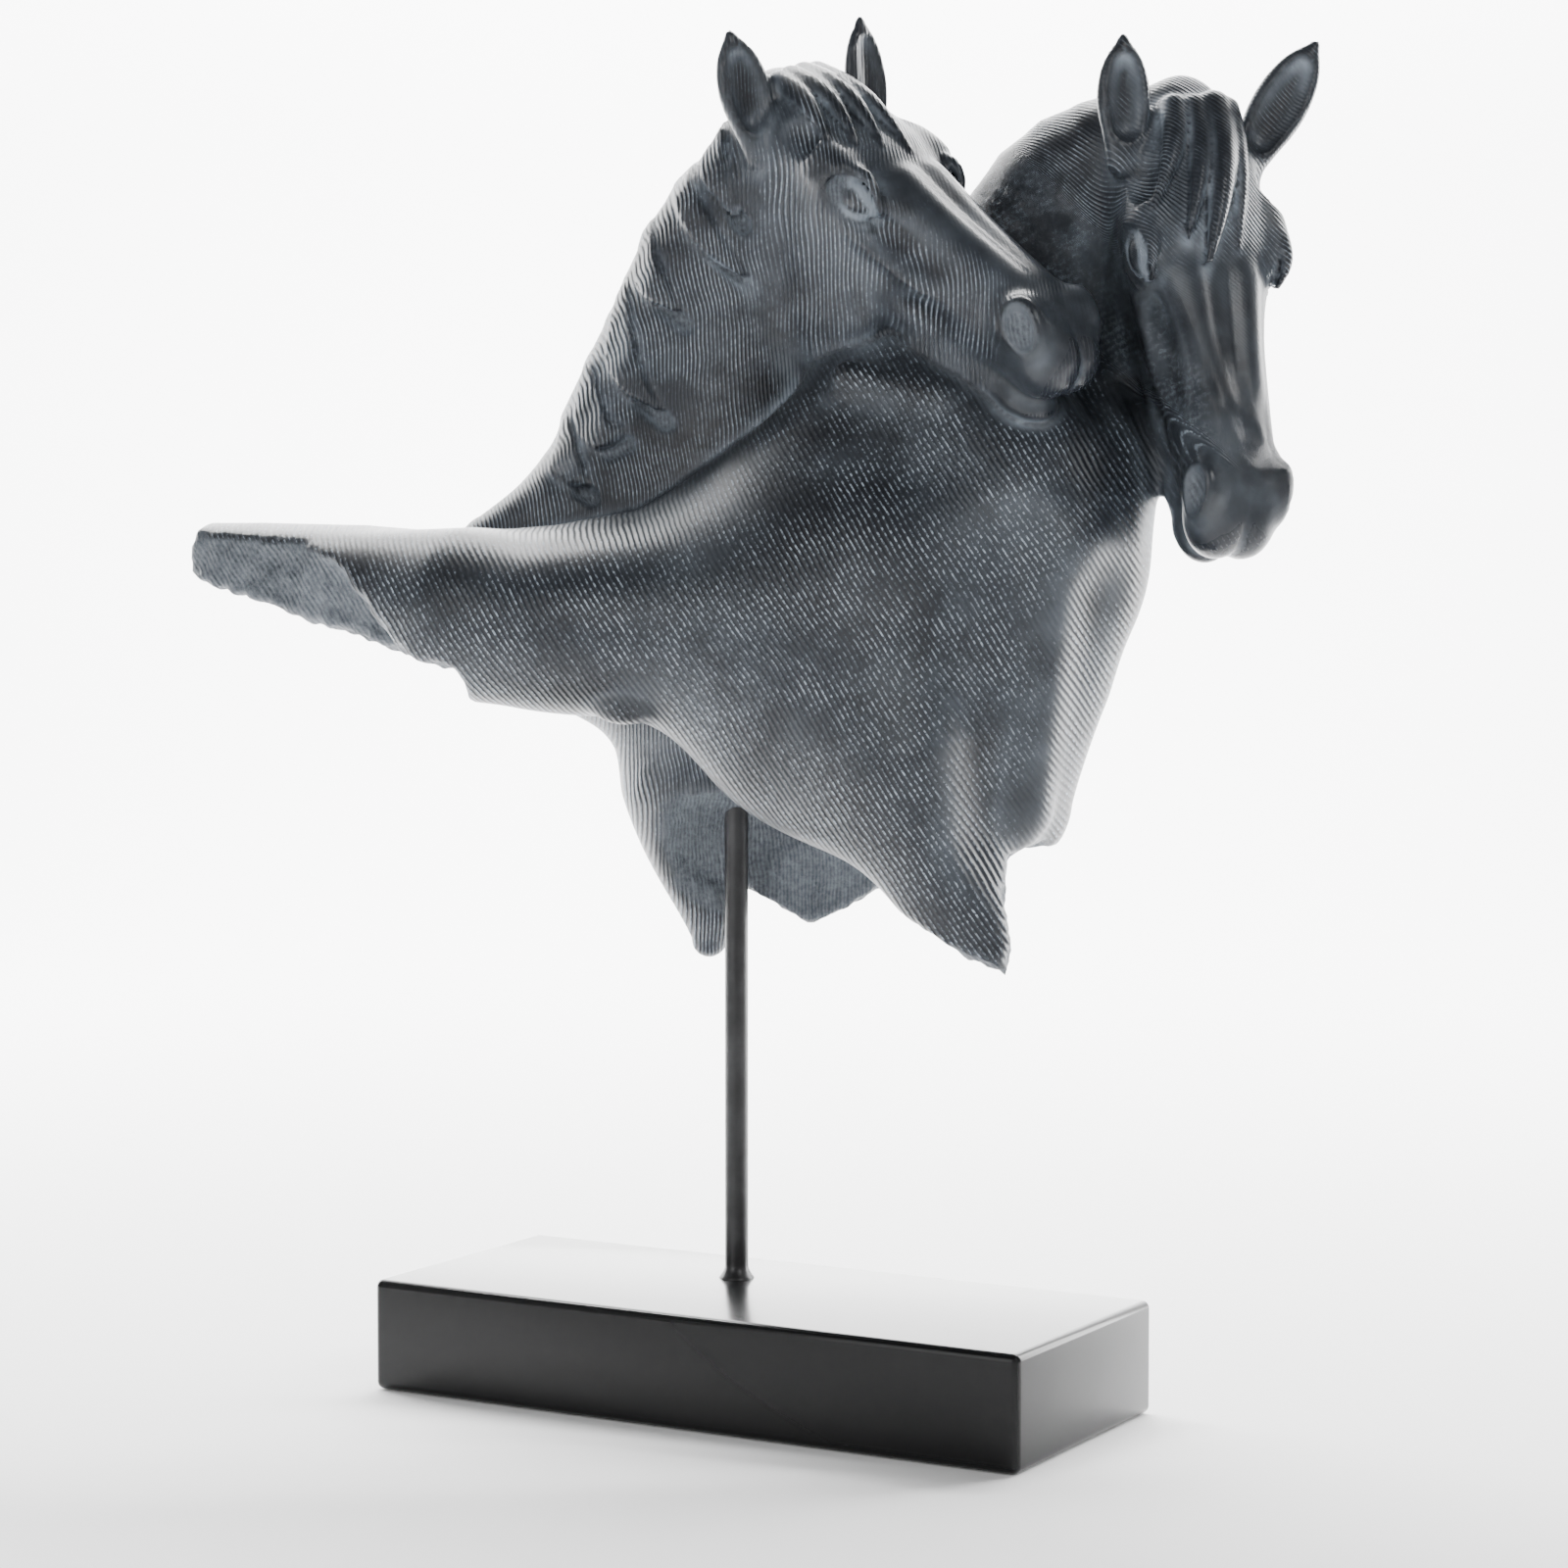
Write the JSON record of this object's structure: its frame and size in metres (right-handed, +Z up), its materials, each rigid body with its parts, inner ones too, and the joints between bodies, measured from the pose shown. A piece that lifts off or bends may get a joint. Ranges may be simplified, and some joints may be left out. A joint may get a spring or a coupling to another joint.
{
  "type": "horse head sculpture",
  "caption": "Fragment-style sculpture of two horse heads with crossed necks, held over a rectangular block by a round rod.",
  "frame": {"origin": "middle of the block's underside, at the level that the block stands on", "axes": "+Z up, +X along the block's long side towards the horses' muzzles, +Y away from the side that the picture shows"},
  "size_m": [0.3652, 0.1909, 0.466],
  "materials": {
    "dark_resin": "cast resin in charcoal with a blue-grey wash in fine layered lines, half glossy",
    "black_rod": "black satin paint on a round steel rod",
    "black_block": "black satin coat with slightly worn edges"
  },
  "bodies": {
    "root": {"horse_heads": "dark_resin", "support_rod": "black_rod", "base_block": "black_block"}
  },
  "joints": []
}
